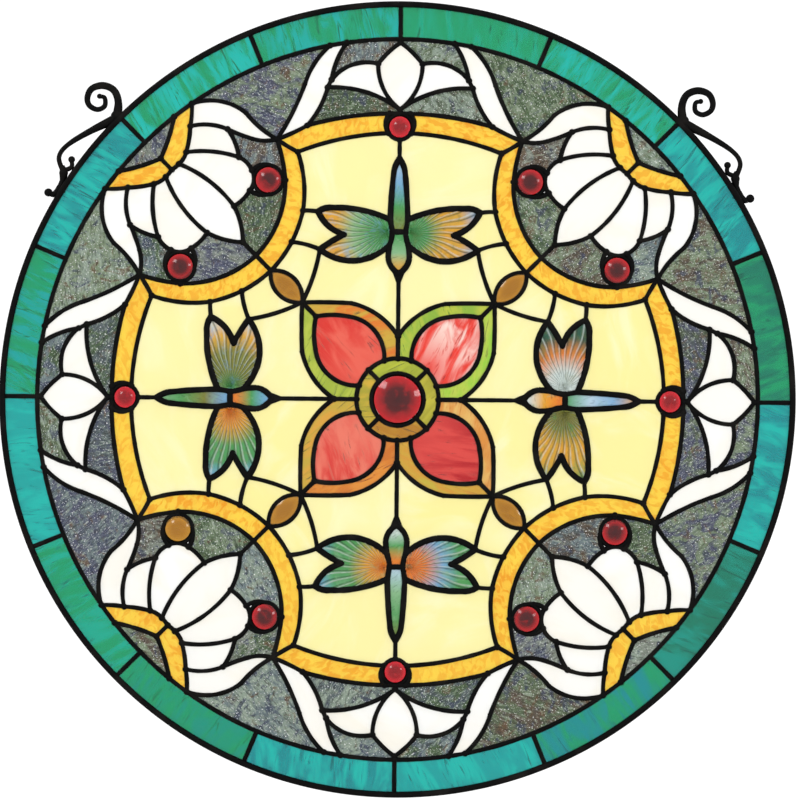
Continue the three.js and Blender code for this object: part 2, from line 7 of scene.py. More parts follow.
import bpy
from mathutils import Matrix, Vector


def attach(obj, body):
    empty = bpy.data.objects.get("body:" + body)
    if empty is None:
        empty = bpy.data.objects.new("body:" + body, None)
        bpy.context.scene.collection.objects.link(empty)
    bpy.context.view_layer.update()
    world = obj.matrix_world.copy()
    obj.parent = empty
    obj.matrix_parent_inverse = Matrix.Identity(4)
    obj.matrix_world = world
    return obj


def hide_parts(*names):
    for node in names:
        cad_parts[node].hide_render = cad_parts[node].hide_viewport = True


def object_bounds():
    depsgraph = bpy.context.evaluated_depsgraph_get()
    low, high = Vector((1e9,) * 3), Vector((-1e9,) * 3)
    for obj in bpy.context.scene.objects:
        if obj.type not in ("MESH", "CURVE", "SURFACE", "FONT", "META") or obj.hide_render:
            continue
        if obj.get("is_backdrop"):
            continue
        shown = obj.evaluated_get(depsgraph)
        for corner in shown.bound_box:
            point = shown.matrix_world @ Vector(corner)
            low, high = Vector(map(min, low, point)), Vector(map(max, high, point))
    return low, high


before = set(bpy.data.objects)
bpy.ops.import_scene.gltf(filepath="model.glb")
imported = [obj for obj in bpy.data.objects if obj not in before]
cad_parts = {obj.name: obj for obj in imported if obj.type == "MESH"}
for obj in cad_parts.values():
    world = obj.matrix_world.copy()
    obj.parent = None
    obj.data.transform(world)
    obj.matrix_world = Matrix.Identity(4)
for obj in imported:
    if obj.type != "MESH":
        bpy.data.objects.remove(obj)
cad_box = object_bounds()

# Cartoon: the full-size drawing that the glass is cut to, in millimetres, for the top side's right half.
# Each joint is a point, x to the right and y upwards from the panel's centre. A seam is an arc between
# two joints, with its bulge as a share of its chord, positive to the left.


def polar(radius, degrees):
    return cmath.rect(radius, math.radians(90 - degrees))


def seam(a, b, bulge=0.0):
    return a, b, bulge


def clockwise(a, b):
    """A seam on a circle round the panel's centre."""
    half = abs(b - a) / 2
    return a, b, (abs(a) - math.sqrt(abs(a) ** 2 - half ** 2)) / (2 * half)


def points_of(arc, pitch):
    """Points along a seam about a pitch apart, without its last one."""
    a, b, bulge = arc
    sweep = -4 * math.atan(2 * bulge)
    length = abs(b - a) * (1 if abs(sweep) < 1e-6 else sweep / 2 / math.sin(sweep / 2))
    steps = max(1, round(length / pitch))
    if abs(bulge) < 1e-6:
        return [a + (b - a) * i / steps for i in range(steps)]
    centre = (a + b) / 2 + 1j * (b - a) * (bulge - (0.25 + bulge ** 2) / (2 * bulge))
    return [centre + (a - centre) * cmath.exp(1j * sweep * i / steps) for i in range(steps)]


# Rim joints, clockwise from the top
rim_top = polar(276, 0)
ribbon_top_in = polar(276, 8.6)
ribbon_top_out = polar(276, 11.3)
long_end = polar(276, 35.3)
base_rim = polar(276, 38.8)
rim_diagonal = polar(276, 45)

# Fan and ribbon joints
fan_tip = complex(0, 273.4)
fan_shoulder = complex(17, 257)
fan_base = complex(0, 222)
fan_point_top = complex(52.6, 244.6)
fan_point_low = complex(55.6, 238.6)
ribbon_foot = complex(71, 209.3)
ribbon_waist = complex(73, 241)

# Amber border joints: along the side, at the cusp, and round the corner circle
border_top = complex(0, 219)
jewel_top_side = complex(8, 218.9)
jewel_low_side = complex(8.5, 203.9)
jewel_low = complex(0, 198.8)
cusp_out = complex(94, 198.5)
cusp_in = complex(78, 189)
circle_west = complex(87.4, 167.3)
diagonal_out = complex(109.3, 109.3)
diagonal_in = complex(97.8, 97.8)
border_top_meet = complex(73.6, 144.2)
border_low_meet = complex(82, 120)

# Lily joints
long_bend = complex(118, 218.5)
long_low_bend = complex(113, 198.8)
petal_top = complex(132, 206)
base_top = complex(160.5, 208)
base_middle = complex(163.5, 188)
base_low = complex(169, 179)
base_diagonal = complex(174.5, 174.5)
moon_diagonal = complex(183, 183)
petal_corner = complex(123, 184.5)
nose_top = complex(113, 174.5)
nose_low = complex(114.5, 159)
petal_meet = complex(126.5, 147)
lily_tip = complex(119.5, 119.5)
jewel_west = complex(89.8, 167.3)

# Dragonfly joints
tail_tip = complex(0, 184.5)
tail_shoulder = complex(4, 176)
waist = complex(6.6, 137.5)
waist_low = complex(5.2, 128.3)
waist_middle = complex(0, 128.3)
armpit = complex(7, 118.5)
head_side = complex(8, 108)
head_tip = complex(0, 96.5)
wing_top = complex(50, 146.5)
wing_top_tip = complex(62, 143.5)
wing_notch = complex(41.5, 126)
wing_low_tip = complex(60.5, 114.5)
wing_low = complex(31, 106.2)

# Flower joints
flower_notch = complex(0, 48.5)
flower_shoulder = complex(36, 73.5)
flower_tip = complex(73.7, 73.7)
inner_shoulder = complex(38, 63.2)
inner_tip = complex(63, 63)
ring_top = polar(31.5, 0)
ring_petal = polar(31.5, 19.3)
ring_diagonal = polar(31.5, 45)
ring_in_top = polar(20, 0)
ring_in_diagonal = polar(20, 45)

seams = dict(
    rim_fan=clockwise(rim_top, ribbon_top_in),
    rim_ribbon=clockwise(ribbon_top_in, ribbon_top_out),
    rim_ground=clockwise(ribbon_top_out, long_end),
    rim_base=clockwise(long_end, base_rim),
    rim_moon=clockwise(base_rim, rim_diagonal),
    fan_centre_top=seam(fan_tip, fan_shoulder, 0.04),
    fan_centre_low=seam(fan_shoulder, fan_base, 0.12),
    fan_side_top=seam(fan_shoulder, fan_point_top, 0.15),
    fan_side_low=seam(fan_point_low, fan_base, -0.09),
    fan_axis=seam(fan_tip, rim_top),
    base_axis=seam(fan_base, border_top),
    ribbon_in_top=seam(ribbon_top_in, fan_point_top, 0.06),
    fan_touch=seam(fan_point_top, fan_point_low),
    ribbon_in_low=seam(fan_point_low, ribbon_foot, -0.06),
    ribbon_out_top=seam(ribbon_top_out, ribbon_waist, 0.07),
    ribbon_out_low=seam(ribbon_waist, cusp_out, -0.03),
    border_out_a=seam(border_top, jewel_top_side, 0.008),
    border_out_b=seam(jewel_top_side, ribbon_foot, 0.033),
    border_out_c=seam(ribbon_foot, cusp_out, -0.02),
    border_in=seam(jewel_low_side, cusp_in, 0.042),
    cusp_seam=seam(cusp_out, cusp_in, 0.02),
    jewel_side=seam(jewel_top_side, jewel_low_side, 0.2),
    jewel_below=seam(jewel_low_side, jewel_low, 0.12),
    long_top_a=seam(cusp_out, long_bend, -0.05),
    long_top_b=seam(long_bend, long_end, 0.13),
    long_low_a=seam(cusp_out, long_low_bend, -0.07),
    long_low_b=seam(long_low_bend, petal_top, -0.02),
    long_low_c=seam(petal_top, base_top, 0.08),
    base_edge_a=seam(long_end, base_top, -0.03),
    base_edge_b=seam(base_top, base_middle, -0.03),
    base_edge_c=seam(base_middle, base_low, -0.08),
    base_edge_d=seam(base_low, base_diagonal, -0.04),
    base_moon=seam(base_rim, moon_diagonal, -0.03),
    base_seam=seam(base_diagonal, moon_diagonal),
    small_side=seam(petal_top, petal_corner, -0.06),
    small_low=seam(petal_corner, base_middle, 0.06),
    large_top=seam(nose_top, petal_corner, 0.1),
    large_nose=seam(nose_low, nose_top, 0.14),
    large_low=seam(petal_meet, nose_low, 0.06),
    centre_top=seam(base_low, petal_meet, -0.07),
    centre_low=seam(petal_meet, lily_tip, -0.06),
    diagonal_seam=seam(lily_tip, diagonal_out),
    amber_seam=seam(diagonal_out, diagonal_in),
    circle_top=seam(cusp_out, circle_west, -0.03),
    circle_low=seam(circle_west, diagonal_out, -0.1),
    circle_in_a=seam(cusp_in, border_top_meet, -0.06),
    circle_in_b=seam(border_top_meet, border_low_meet, -0.03),
    circle_in_c=seam(border_low_meet, diagonal_in, -0.035),
    jewel_gap=seam(circle_west, jewel_west),
    jewel_up=seam(jewel_west, nose_top, 0.33),
    jewel_down=seam(nose_low, jewel_west, 0.27),
    tail_seam=seam(jewel_low, tail_tip),
    tail_a=seam(tail_tip, tail_shoulder, 0.05),
    tail_b=seam(tail_shoulder, waist, 0.01),
    tail_c=seam(waist, waist_low),
    tail_d=seam(waist_low, waist_middle),
    body_side=seam(waist_low, armpit, -0.05),
    head_a=seam(armpit, head_side, 0.02),
    head_b=seam(head_side, head_tip, 0.12),
    wing_top_a=seam(waist, wing_top, 0.06),
    wing_top_b=seam(wing_top, wing_top_tip, 0.1),
    notch_top=seam(wing_top_tip, wing_notch, 0.12),
    notch_low=seam(wing_notch, wing_low_tip, 0.03),
    wing_low_a=seam(wing_low_tip, wing_low, 0.1),
    wing_low_b=seam(wing_low, armpit, 0.08),
    cream_top=seam(wing_top_tip, border_top_meet, 0.02),
    cream_middle=seam(wing_low_tip, border_low_meet, 0.04),
    cream_low=seam(wing_low_tip, flower_tip, -0.04),
    cream_axis=seam(head_tip, flower_notch),
    oval_out=seam(diagonal_in, flower_tip, -0.25),
    flower_out_a=seam(flower_notch, flower_shoulder, 0.1),
    flower_out_b=seam(flower_shoulder, flower_tip, 0.012),
    flower_in_a=seam(ring_petal, inner_shoulder, 0.2),
    flower_in_b=seam(inner_shoulder, inner_tip, 0.05),
    flower_seam=seam(inner_tip, flower_tip),
    flower_axis=seam(flower_notch, ring_top),
    ring_a=clockwise(ring_top, ring_petal),
    ring_b=clockwise(ring_petal, ring_diagonal),
    ring_in=clockwise(ring_in_top, ring_in_diagonal),
    ring_seam=seam(ring_diagonal, ring_in_diagonal),
)

# Each sheet of the drawing: its CAD node, whether it repeats by side or by corner, and its pieces. A
# piece "on" the axis or the diagonal is its own mirror image, and any other has a mirrored twin.
sheets = dict(
    rim_ground=(None, [
        (None, "rim_fan ribbon_in_top fan_side_top fan_centre_top fan_axis"),
        (None, "ribbon_out_top ribbon_out_low long_top_a long_top_b rim_ground"),
        ("diagonal", "base_moon rim_moon")]),
    fan_ground=("side", [(None, "fan_side_low ribbon_in_low border_out_b border_out_a base_axis")]),
    corner_ground=("corner", [
        (None, "long_low_a long_low_b small_side large_top jewel_up jewel_gap circle_top"),
        (None, "jewel_gap jewel_down large_low centre_low diagonal_seam circle_low")]),
    fan=("side", [
        ("axis", "fan_centre_top fan_centre_low"),
        (None, "fan_side_top fan_touch fan_side_low fan_centre_low"),
        (None, "ribbon_in_top fan_touch ribbon_in_low border_out_c ribbon_out_low ribbon_out_top "
               "rim_ribbon")]),
    lily=("corner", [
        (None, "long_top_a long_top_b base_edge_a long_low_c long_low_b long_low_a"),
        (None, "long_low_c base_edge_b small_low small_side"),
        (None, "small_low base_edge_c centre_top large_low large_nose large_top"),
        ("diagonal", "centre_low centre_top base_edge_d")]),
    cream_field=("side", [
        (None, "tail_a tail_b wing_top_a wing_top_b cream_top circle_in_a border_in jewel_below "
               "tail_seam"),
        (None, "cream_top circle_in_b cream_middle notch_low notch_top"),
        (None, "cream_middle circle_in_c oval_out cream_low"),
        (None, "head_b head_a wing_low_b wing_low_a cream_low flower_out_b flower_out_a cream_axis")]),
    amber_border=("corner", [
        (None, "border_out_b border_out_c cusp_seam border_in jewel_side"),
        (None, "circle_top circle_low amber_seam circle_in_c circle_in_b circle_in_a cusp_seam")]),
    lily_base=("corner", [
        (None, "base_edge_a base_edge_b base_edge_c base_edge_d base_seam base_moon rim_base")]),
    flower_surround=(None, [
        (None, "flower_out_a flower_out_b flower_seam flower_in_b flower_in_a ring_a flower_axis"),
        ("axis", "ring_a ring_b ring_seam ring_in")]),
    red_petal=("corner", [("diagonal", "ring_b flower_in_a flower_in_b")]),
    oval_jewel=("corner", [("diagonal", "oval_out")]),
    dragonfly=("side", [
        (None, "tail_c body_side wing_low_b wing_low_a notch_low notch_top wing_top_b wing_top_a"),
        ("axis", "tail_a tail_b tail_c tail_d"),
        ("axis", "tail_d body_side head_a head_b")]),
)
side_names = ["top", "right", "bottom", "left"]
corner_names = ["top_right", "bottom_right", "bottom_left", "top_left"]
mirrors = dict(axis=lambda p: -p.conjugate(), diagonal=lambda p: 1j * p.conjugate())


def reversed_seam(arc):
    a, b, bulge = arc
    return b, a, -bulge


def moved_seam(arc, move, flips):
    a, b, bulge = arc
    return move(a), move(b), -bulge if flips else bulge


def head_to_tail(arcs):
    """Turns the seams of a piece so that each starts where the last one ends."""
    first, second = arcs[0], arcs[1]
    meets = min(abs(first[1] - second[0]), abs(first[1] - second[1])) < 1e-4
    loop = [first if meets else reversed_seam(first)]
    for arc in arcs[1:]:
        loop.append(arc if abs(loop[-1][1] - arc[0]) < 1e-4 else reversed_seam(arc))
    return loop


def places_of(sheet):
    """Every piece of a sheet: its node, which piece it is, its quarter turn, its twin and its seams."""
    repeat, pieces = sheets[sheet]
    for index, (on, names) in enumerate(pieces):
        arcs = [seams[name] for name in names.split()]
        if on:
            arcs += [reversed_seam(moved_seam(arc, mirrors[on], True)) for arc in reversed(arcs)]
        for turn in range(4):
            for twin in range(1 if on else 2):
                mirror = mirrors["axis"] if twin else (lambda p: p)
                place = [moved_seam(arc, lambda p: mirror(p) * (-1j) ** turn, twin) for arc in arcs]
                names_of = dict(side=side_names[turn], corner=corner_names[(turn + 3 * twin) % 4])
                node = f"{sheet}_{names_of[repeat]}" if repeat else sheet
                yield node, index, turn, twin, head_to_tail(place)


def outline_of(arcs, pitch=2.6):
    """A piece's outline, counterclockwise."""
    outline = [point for arc in arcs for point in points_of(arc, pitch)]
    area = sum((p.conjugate() * q).imag for p, q in zip(outline, outline[1:] + outline[:1]))
    return outline if area > 0 else outline[::-1]


# Rim glass: sixteen pieces of swirled teal cathedral glass between the rim lead and the frame. The
# glass is rolled 3 mm thick, cut with a wheel, and its edges are wrapped in foil under the leads.
# The frame's origin is level with the hooks' eyes, this far over the panel's centre
eye_rise = 230
glass_front = -1.5
glass_back = 1.5
foil_gap = 0.5
rim_inside = 276.0
rim_outside = 302.5
rim_pieces = 16
rim_steps = 24
cut_spread = 16


def paint(red, green, blue):
    """A colour as it looks, from 0 to 255, as the shader's own linear values."""
    return [((c / 255 + 0.055) / 1.055) ** 2.4 if c > 10 else c / 3295 for c in (red, green, blue)] + [1]


def between(a, b, share):
    return [p + (q - p) * share for p, q in zip(a, b)]


class Glazing:
    """Pieces of one kind of glass, gathered into one mesh. Each piece has its own cut of the sheet: a
    place and a direction in the pattern, kept in the UV map "cut", and two colours that it swirls."""

    def __init__(self, seed):
        self.points, self.faces, self.cuts, self.tints, self.streaks = [], [], [], [], []
        self.random = random.Random(seed)

    def lay(self, rings, tints, streak, direction=None):
        """Rings of (point, depth), from the front's middle outwards and round to the back's middle."""
        turn = self.random.uniform(0, math.pi) if direction is None else direction
        place = complex(self.random.uniform(0, 90), self.random.uniform(0, 90))
        first = len(self.points)
        count = max(len(ring) for ring in rings)
        starts = []
        for ring, tint in zip(rings, tints):
            starts.append(len(self.points))
            for i, (point, depth) in enumerate(ring):
                self.points.append((point.real / 1000, depth / 1000, (point.imag - eye_rise) / 1000))
                cut = place + point * cmath.exp(1j * turn) / 100
                self.cuts.append((cut.real, cut.imag))
                self.tints.append(tint[i] if isinstance(tint[0], list) else tint)
                self.streaks.append(streak)
        for ring, after, start, end in zip(rings, rings[1:], starts, starts[1:]):
            for i in range(count):
                j = (i + 1) % count
                if len(ring) == 1:
                    self.faces.append((start, end + i, end + j))
                elif len(after) == 1:
                    self.faces.append((start + j, start + i, end))
                else:
                    self.faces.append((start + i, end + i, end + j, start + j))
        if len(rings[0]) > 1:
            self.faces.append(tuple(range(first, first + count)))
        if len(rings[-1]) > 1:
            self.faces.append(tuple(reversed(range(starts[-1], starts[-1] + count))))

    def flat(self, outline, tint, streak, direction=None):
        """A piece of sheet glass, its edge drawn in under the foil."""
        count = len(outline)
        edge = []
        for i, point in enumerate(outline):
            along = outline[(i + 1) % count] - outline[i - 1]
            room = min(abs(point - outline[(i + k) % count]) for k in range(2, count - 1))
            edge.append(point + min(foil_gap, room / 5) * 1j * along / abs(along))
        self.lay([[(p, glass_front) for p in edge], [(p, glass_back) for p in edge]], [tint] * 2, streak,
                 direction)

    def domed(self, outline, heart, rise, tint_at, streak, rings=8, height_at=None, power=2.0,
              front=glass_front, direction=None):
        """A cast piece that swells towards its heart, with a further height where height_at gives one."""
        outline = [heart + (p - heart) * (1 - foil_gap / abs(p - heart)) for p in outline]
        layers = [[(heart, front - rise)]]
        tints = [tint_at(0, heart)]
        for k in range(1, rings + 1):
            share = k / rings
            ring = []
            for i, point in enumerate(outline):
                place = heart + (point - heart) * share
                height = rise * (1 - share ** power)
                if height_at:
                    height += height_at(place) * min(1, 5 * (1 - share))
                ring.append((place, front - height))
            layers.append(ring)
            tints.append([tint_at(share, point) for point, _ in ring])
        layers.append([(p, glass_back) for p in outline])
        tints.append([tint_at(1, p) for p in outline])
        layers.append([(heart, glass_back)])
        tints.append(tint_at(0, heart))
        self.lay(layers, tints, streak, direction)

    def fit(self, name, material, nodes, slot):
        """Makes the mesh, and puts it in the place of its CAD nodes."""
        mesh = bpy.data.meshes.new(name)
        mesh.from_pydata(self.points, [], self.faces)
        uv = mesh.uv_layers.new(name="cut")
        for loop in mesh.loops:
            uv.data[loop.index].uv = self.cuts[loop.vertex_index]
        for label, values in (("tint", self.tints), ("streak", self.streaks)):
            colours = mesh.color_attributes.new(label, "FLOAT_COLOR", "POINT")
            colours.data.foreach_set("color", [c for value in values for c in value])
        mesh.shade_smooth()
        mesh.set_sharp_from_angle(angle=math.radians(38))
        mesh.materials.append(material)
        piece = bpy.data.objects.new(name, mesh)
        bpy.context.scene.collection.objects.link(piece)
        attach(piece, "root")
        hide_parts(*nodes)
        return piece


class Finish:
    """A material on the Principled shader. An expression on its fields adds Math nodes."""

    class Field:
        def __init__(self, finish, socket):
            self.finish = finish
            self.socket = socket

        def run(self, operation, *others):
            fields = dict(enumerate(others))
            return self.finish.node("ShaderNodeMath", dict(operation=operation), fields)

        def __add__(self, other):
            return self.run("ADD", self, other)

        def __mul__(self, other):
            return self.run("MULTIPLY", self, other)

        def __rsub__(self, other):
            return self.run("SUBTRACT", other, self)

        __radd__ = __add__
        __rmul__ = __mul__

        def span(self, low, high):
            """0 at low and below, 1 at high and above."""
            settings = dict(interpolation_type="SMOOTHSTEP")
            return self.finish.node("ShaderNodeMapRange", settings, {0: self, 1: low, 2: high})

    def __init__(self, name, **constants):
        self.material = bpy.data.materials.new(name)
        self.material.use_nodes = True
        self.tree = self.material.node_tree
        self.shader = self.tree.nodes["Principled BSDF"]
        for label, value in constants.items():
            self.shader.inputs[label.replace("_", " ")].default_value = value

    def node(self, kind, settings, inputs, output=0):
        made = self.tree.nodes.new(kind)
        for key, value in settings.items():
            setattr(made, key, value)
        for key, value in inputs.items():
            if isinstance(value, Finish.Field):
                self.tree.links.new(value.socket, made.inputs[key])
            else:
                made.inputs[key].default_value = value
        return Finish.Field(self, made.outputs[output])

    def mix(self, a, b, share):
        return self.node("ShaderNodeMix", dict(data_type="RGBA"), {0: share, 6: a, 7: b}, 2)

    def noise(self, where, scale, detail=3.0, distortion=0.0, stretch=(1, 1, 1)):
        """Noise from 0 to 1 on coordinates that are first multiplied by stretch."""
        where = self.node("ShaderNodeMapping", {}, {"Vector": where, "Scale": stretch})
        values = {"Vector": where, "Scale": scale, "Detail": detail, "Distortion": distortion}
        return self.node("ShaderNodeTexNoise", {}, values)

    def feed(self, colour=None, roughness=None, height=None, strength=0.2, depth=0.001):
        for label, value in (("Base Color", colour), ("Roughness", roughness)):
            if value is not None:
                self.tree.links.new(value.socket, self.shader.inputs[label])
        if height is not None:
            values = {"Height": height, "Strength": strength, "Distance": depth}
            bump = self.node("ShaderNodeBump", {}, values)
            self.tree.links.new(bump.socket, self.shader.inputs["Normal"])


def glass_fields(finish):
    """A piece's cut of the sheet, and its two colours."""
    return (finish.node("ShaderNodeUVMap", dict(uv_map="cut"), {}),
            finish.node("ShaderNodeAttribute", dict(attribute_name="tint"), {}, "Color"),
            finish.node("ShaderNodeAttribute", dict(attribute_name="streak"), {}, "Color"))


swirled_glass = Finish("swirled_glass", IOR=1.5, Specular_IOR_Level=0.15, Transmission_Weight=0.6)
cut, tint, streak = glass_fields(swirled_glass)
swirl = swirled_glass.noise(cut, 2.2, 5.0, 1.2, (1, 3.5, 1))
wisp = swirled_glass.noise(cut, 5.0, 4.0, 2.0, (0.6, 4, 1))
wave = swirled_glass.noise(cut, 9.0, 2.0, 0.5)
body_colour = swirled_glass.mix(tint, streak, swirl.span(0.36, 0.62))
wisp_colour = swirled_glass.mix(body_colour, streak, wisp.span(0.52, 0.68) * 0.7)
shade = swirled_glass.mix(wisp_colour, (0.0, 0.02, 0.02, 1), wisp.span(0.58, 0.74) * 0.5)
swirled_glass.feed(shade, 0.1 + 0.14 * wave, wave, 0.25)

teal_light = paint(8, 190, 178)
teal_deep = paint(0, 146, 150)
teal_green = paint(2, 160, 106)
teal_night = paint(0, 126, 100)
# Body and streak of each rim piece, clockwise from the top
rim_tints = [
    (between(teal_light, teal_green, 0.7), teal_green), (teal_light, teal_green),
    (teal_light, teal_deep), (teal_green, teal_night), (teal_deep, teal_light),
    (between(teal_deep, teal_green, 0.4), teal_night), (teal_green, teal_deep),
    (teal_light, between(teal_light, teal_deep, 0.6)), (teal_light, teal_deep),
    (between(teal_green, teal_deep, 0.5), teal_green), (teal_green, between(teal_light, teal_green, 0.5)),
    (teal_light, between(teal_light, teal_deep, 0.5)), (between(teal_light, teal_deep, 0.5), teal_green),
    (teal_light, teal_deep), (teal_light, teal_green), (between(teal_light, teal_deep, 0.3), teal_green)]
rim_glass = Glazing(3)
for index in range(rim_pieces):
    start, end = (360 / rim_pieces * (index + share) for share in (0, 1))
    angles = [start + (end - start) * i / rim_steps for i in range(rim_steps + 1)]
    inner = [polar(rim_inside + foil_gap, angle) for angle in angles]
    outer = [polar(rim_outside, angle) for angle in angles]
    rim_tint, rim_streak = rim_tints[index]
    skew = rim_glass.random.uniform(-cut_spread, cut_spread)
    across = -math.radians(90 - (start + end) / 2) + math.radians(skew)
    rim_glass.flat(inner + outer[::-1], rim_tint, rim_streak, across)
rim_glass.fit("rim_glass_pieces", swirled_glass.material, ["rim_glass"], "teal_glass")

# Ground glass: clear grey glass with purple, brown and green in it, rolled on one side into fine
# ripples. Painted shade and painted highlights along the ripples, and white specks of painted glint,
# are put into its colour. It is cut to fill what the petals leave, and soldered in like the rest.
ground_glass = Finish("rippled_ground_glass", IOR=1.5, Specular_IOR_Level=0.2, Transmission_Weight=0.5)
cut, tint, streak = glass_fields(ground_glass)
cloud = ground_glass.noise(cut, 5.0, 5.0, 1.6, (1, 1.5, 1))
patch = ground_glass.noise(cut, 8.0, 5.0, 1.2, (1.5, 0.9, 1))
ripple = ground_glass.noise(cut, 24.0, 3.0, 1.2, (0.7, 2.0, 1))
grain = ground_glass.noise(cut, 85.0, 2.0, 0.0)
purple_patch = paint(50, 60, 90)
brown_patch = paint(104, 76, 48)
# Painted shade and painted light of the ripples, on the same noise that bumps them
ripple_painted_shade = paint(24, 30, 24)
ripple_painted_light = paint(176, 190, 170)
body_colour = ground_glass.mix(tint, streak, cloud.span(0.4, 0.6))
patched = ground_glass.mix(body_colour, purple_patch, patch.span(0.54, 0.66) * 0.8)
warmed = ground_glass.mix(patched, brown_patch, (1 - patch).span(0.57, 0.69) * 0.8)
# The ripples' painted shade, then their painted highlights
rippled = ground_glass.mix(warmed, ripple_painted_shade, ripple.span(0.5, 0.68) * 0.6)
lit = ground_glass.mix(rippled, ripple_painted_light, (1 - ripple).span(0.52, 0.7) * 0.55)
# White specks of painted glint, on the fine grain noise
painted_glints = ground_glass.mix(lit, paint(255, 255, 255), grain.span(0.62, 0.68) * 0.9)
ground_glass.feed(painted_glints, 0.12 + 0.2 * grain, ripple + grain * 0.4, 0.7)

ground_tints = [paint(128, 146, 116), paint(112, 128, 132), paint(138, 146, 134), paint(98, 116, 84)]
ground_streaks = [paint(72, 96, 60), paint(80, 84, 108), paint(90, 76, 62), paint(146, 162, 146)]
ground_dark = paint(34, 38, 32)
fan_darkness = 0.45
for sheet, seed in (("rim_ground", 11), ("fan_ground", 12), ("corner_ground", 13)):
    glazings = {}
    for node, index, turn, twin, arcs in places_of(sheet):
        glazing = glazings.setdefault(node, Glazing(seed + 7 * len(glazings)))
        pick = glazing.random.randrange(4)
        darkness = fan_darkness if sheet == "fan_ground" else glazing.random.uniform(0.0, 0.15)
        ground_tint = between(ground_tints[pick], ground_dark, darkness)
        glazing.flat(outline_of(arcs), ground_tint, ground_streaks[(pick + turn + twin) % 4])
    for node, glazing in glazings.items():
        glazing.fit(f"{node}_pieces", ground_glass.material, [node], "ground_glass")

# Opal glass: milky white for the fans, ribbons and lilies, and cream for the field round the
# dragonflies. It is a soft cloudy sheet glass, 3 mm thick, that glows where light comes through.
opal_glass = Finish("opal_glass", IOR=1.5, Specular_IOR_Level=0.3, Transmission_Weight=0.3)
cut, tint, streak = glass_fields(opal_glass)
cloud = opal_glass.noise(cut, 1.6, 4.0, 0.8, (1, 2.2, 1))
ripple = opal_glass.noise(cut, 7.0, 2.0, 0.6, (1, 2, 1))
opal_glass.feed(opal_glass.mix(tint, streak, cloud.span(0.42, 0.72)), 0.12 + 0.12 * ripple, ripple, 0.12)

milk = paint(255, 255, 253)
milk_warm = paint(253, 249, 238)
cream = paint(253, 243, 162)
cream_pale = paint(255, 249, 196)
opals = [("fan", milk, milk_warm, "white_glass", 21), ("lily", milk, milk_warm, "white_glass", 22),
         ("cream_field", cream, cream_pale, "cream_glass", 23)]
for sheet, body, cloudy, slot, seed in opals:
    glazings = {}
    for node, index, turn, twin, arcs in places_of(sheet):
        glazing = glazings.setdefault(node, Glazing(seed + 5 * len(glazings)))
        share = glazing.random.uniform(0, 0.5)
        glazing.flat(outline_of(arcs), between(body, cloudy, share), cloudy)
    for node, glazing in glazings.items():
        glazing.fit(f"{node}_pieces", opal_glass.material, [node], slot)

# Amber border: the bands along the sides and round the corner circles, and the lilies' bases, of
# golden glass with darker mottles and a hammered face.
mottled_glass = Finish("mottled_amber_glass", IOR=1.5, Specular_IOR_Level=0.15, Transmission_Weight=0.4)
cut, tint, streak = glass_fields(mottled_glass)
mottle = mottled_glass.noise(cut, 13.0, 2.5, 0.8, (1, 1.7, 1))
cloud = mottled_glass.noise(cut, 4.0, 3.0, 0.5)
share = mottle.span(0.44, 0.6) * 0.65 + cloud.span(0.45, 0.7) * 0.35
mottled_glass.feed(mottled_glass.mix(tint, streak, share), 0.14 + 0.14 * mottle, mottle, 0.7, 0.0012)

amber = paint(255, 216, 70)
amber_dark = paint(246, 160, 16)
for sheet, seed in (("amber_border", 31), ("lily_base", 32)):
    glazings = {}
    for node, index, turn, twin, arcs in places_of(sheet):
        glazing = glazings.setdefault(node, Glazing(seed + 3 * len(glazings)))
        paleness = glazing.random.uniform(0, 0.4)
        glazing.flat(outline_of(arcs), amber, between(amber_dark, amber, paleness))
    for node, glazing in glazings.items():
        glazing.fit(f"{node}_pieces", mottled_glass.material, [node], "amber_glass")

# Flower: four streaky red petals with borders that go from orange to lime, and a ring of four pieces
# round the centre jewel. All are cut from the same kind of swirled sheet glass as the rim.
# Body and swirl of each piece: 0 for a petal's border or 1 for the ring, its quarter turn, its twin
surround_tints = {
    (0, 0, 0): (paint(196, 206, 66), paint(150, 190, 60)),
    (0, 0, 1): (paint(236, 128, 36), paint(214, 178, 60)),
    (0, 1, 0): (paint(238, 196, 110), paint(228, 150, 62)),
    (0, 1, 1): (paint(156, 214, 60), paint(196, 214, 80)),
    (0, 2, 0): (paint(232, 150, 52), paint(214, 120, 34)),
    (0, 2, 1): (paint(206, 186, 62), paint(222, 160, 52)),
    (0, 3, 0): (paint(192, 206, 74), paint(170, 190, 60)),
    (0, 3, 1): (paint(230, 170, 60), paint(206, 176, 60)),
    (1, 0, 0): (paint(196, 204, 58), paint(170, 180, 50)),
    (1, 1, 0): (paint(206, 196, 60), paint(176, 170, 44)),
    (1, 2, 0): (paint(214, 170, 46), paint(190, 130, 30)),
    (1, 3, 0): (paint(222, 184, 56), paint(180, 170, 48))}
surround = Glazing(41)
for node, index, turn, twin, arcs in places_of("flower_surround"):
    body, swirl_colour = surround_tints[index, turn, twin]
    surround.flat(outline_of(arcs), body, swirl_colour)
surround.fit("flower_surround_pieces", swirled_glass.material, ["flower_surround"], "lime_glass")

